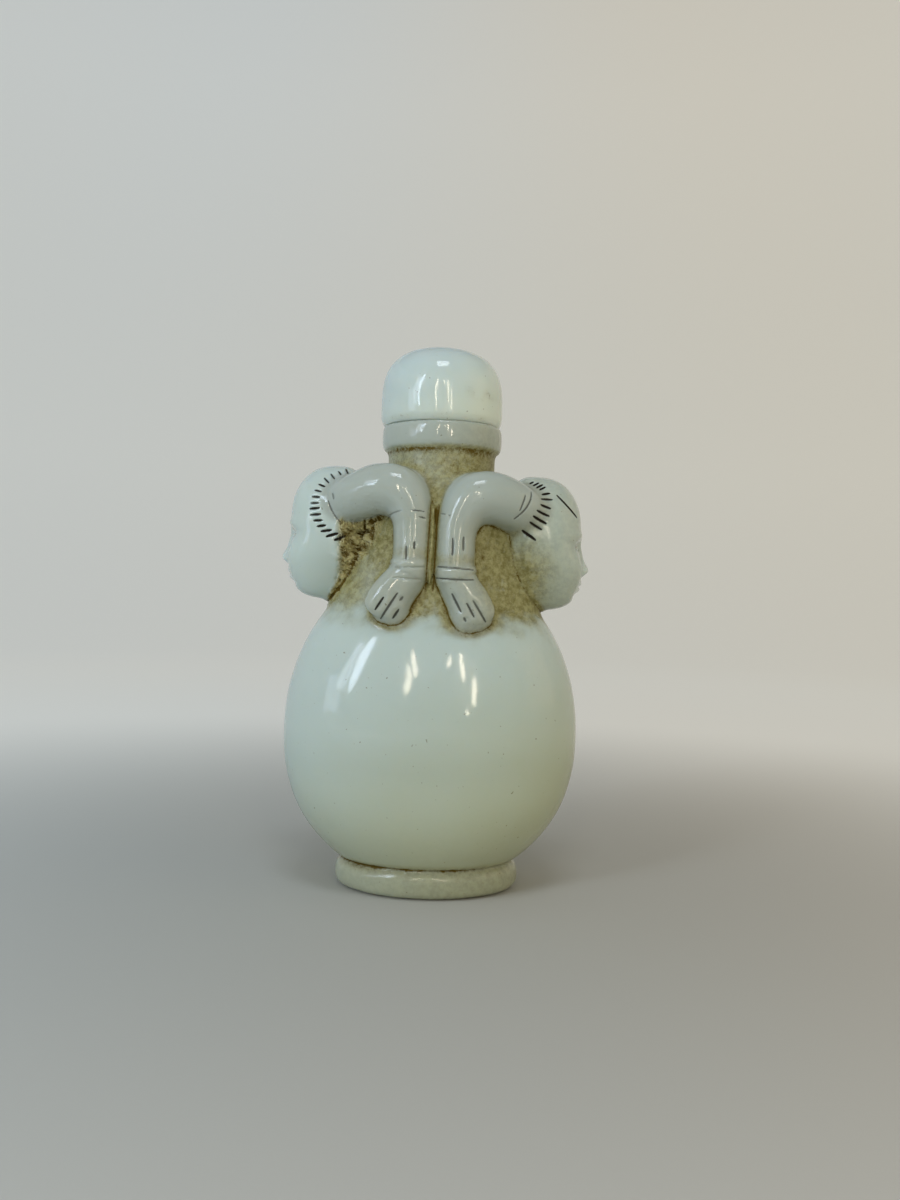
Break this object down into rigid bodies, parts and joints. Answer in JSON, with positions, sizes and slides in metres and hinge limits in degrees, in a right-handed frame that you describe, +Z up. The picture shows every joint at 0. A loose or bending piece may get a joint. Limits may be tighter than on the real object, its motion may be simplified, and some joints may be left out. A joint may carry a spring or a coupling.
{
  "type": "carved snuff bottle",
  "caption": "Small flattened snuff bottle of opaline glass on an oval foot, boys carved on its shoulders, with a domed stopper resting in the neck.",
  "frame": {"origin": "centre of the underside of the foot, on the plane the bottle stands on", "axes": "+Z up along the bottle towards the stopper, X across the figures, the front is -Y; the bottle is flattened front to back, so its least extent is along Y"},
  "size_m": [0.036, 0.022, 0.0635],
  "materials": {
    "bottle_glass": "cloudy opaline glass, polished where it is rounded, with old olive-brown dirt in the carved hollows and dark lines",
    "stopper_glass": "cloudy opaline glass, polished, a little whiter than the bottle"
  },
  "bodies": {
    "root": {"bottle": "bottle_glass", "stopper": "stopper_glass"}
  },
  "joints": []
}
